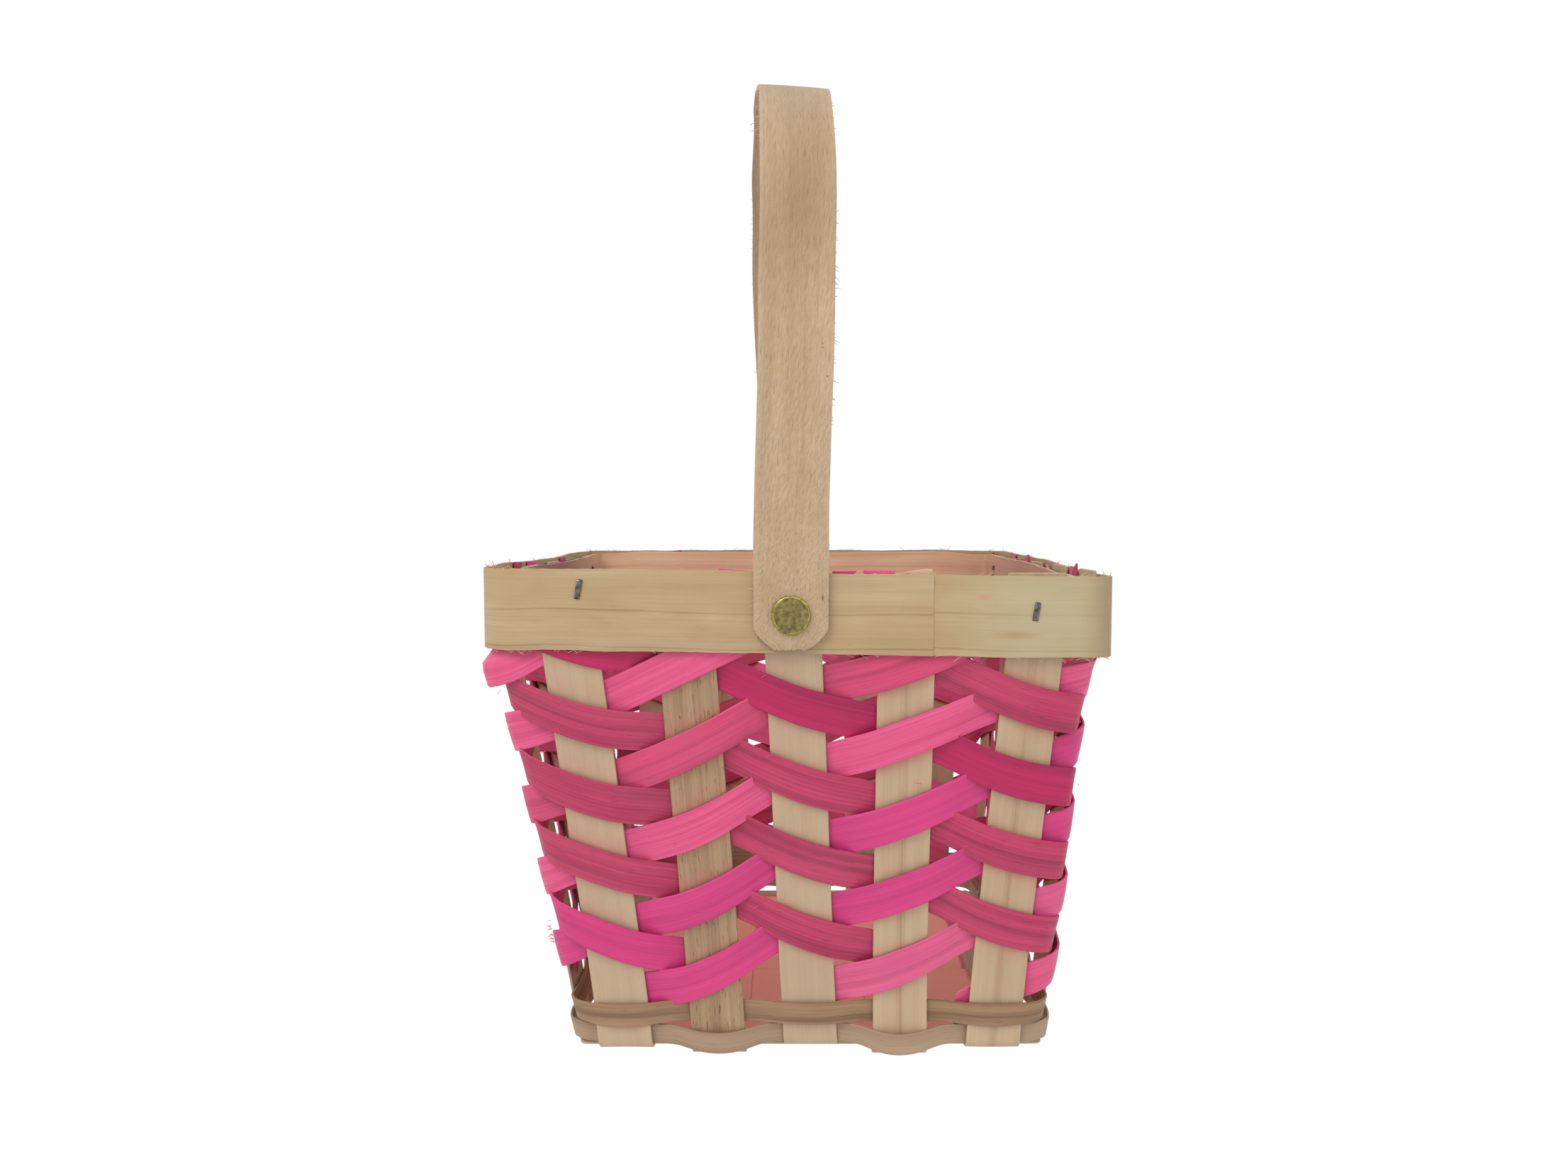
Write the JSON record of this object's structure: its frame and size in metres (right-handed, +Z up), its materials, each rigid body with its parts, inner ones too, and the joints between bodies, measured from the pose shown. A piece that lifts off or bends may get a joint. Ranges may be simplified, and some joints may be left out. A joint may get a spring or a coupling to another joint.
{
  "type": "woven basket",
  "caption": "Square woven chip-wood basket with flared walls, a rim band and a bent strap handle that swings on rivets.",
  "frame": {"origin": "middle of the basket's footprint box, on the surface it stands on", "axes": "+Z up, the front wall faces -Y, the handle's rivets lie along Y"},
  "size_m": [0.1842, 0.1894, 0.3102],
  "materials": {
    "rose_strip": "dyed chip wood, satin",
    "pink_strip": "dyed chip wood, satin",
    "stake_wood": "raw chip wood, matt",
    "ring_wood": "raw chip wood, matt",
    "rim_wood": "raw chip wood, matt",
    "inner_rim_wood": "raw chip wood, matt",
    "handle_wood": "raw bent wood, matt",
    "brass": "worn bright",
    "staple_steel": "dull"
  },
  "bodies": {
    "basket": {"base_ring_lower": "ring_wood", "base_ring_upper": "ring_wood", "rim_band_inner": "inner_rim_wood", "rim_band_outer": "rim_wood", "rim_staples": "staple_steel", "rivet_front": "brass", "rivet_rear": "brass", "stake_front_1": "stake_wood", "stake_front_2": "stake_wood", "stake_front_3": "stake_wood", "stake_front_4": "stake_wood", "stake_front_5": "stake_wood", "stake_side_1": "stake_wood", "stake_side_2": "stake_wood", "stake_side_3": "stake_wood", "stake_side_4": "stake_wood", "stake_side_5": "stake_wood", "washer_front": "brass", "washer_rear": "brass", "weaver_down_01": "rose_strip", "weaver_down_02": "rose_strip", "weaver_down_03": "rose_strip", "weaver_down_04": "rose_strip", "weaver_down_05": "rose_strip", "weaver_down_06": "rose_strip", "weaver_down_07": "rose_strip", "weaver_down_08": "rose_strip", "weaver_down_09": "rose_strip", "weaver_down_10": "rose_strip", "weaver_up_01": "pink_strip", "weaver_up_02": "pink_strip", "weaver_up_03": "pink_strip", "weaver_up_04": "pink_strip", "weaver_up_05": "pink_strip", "weaver_up_06": "pink_strip", "weaver_up_07": "pink_strip", "weaver_up_08": "pink_strip", "weaver_up_09": "pink_strip", "weaver_up_10": "pink_strip"},
    "handle": {"handle_strap": "handle_wood"}
  },
  "joints": [
    {"name": "handle_swing", "type": "hinge", "parent": "basket", "child": "handle", "pos_m": [-0.002, 0, 0.1372], "axis": [0, 1, 0], "range_deg": [-130, 130]}
  ]
}
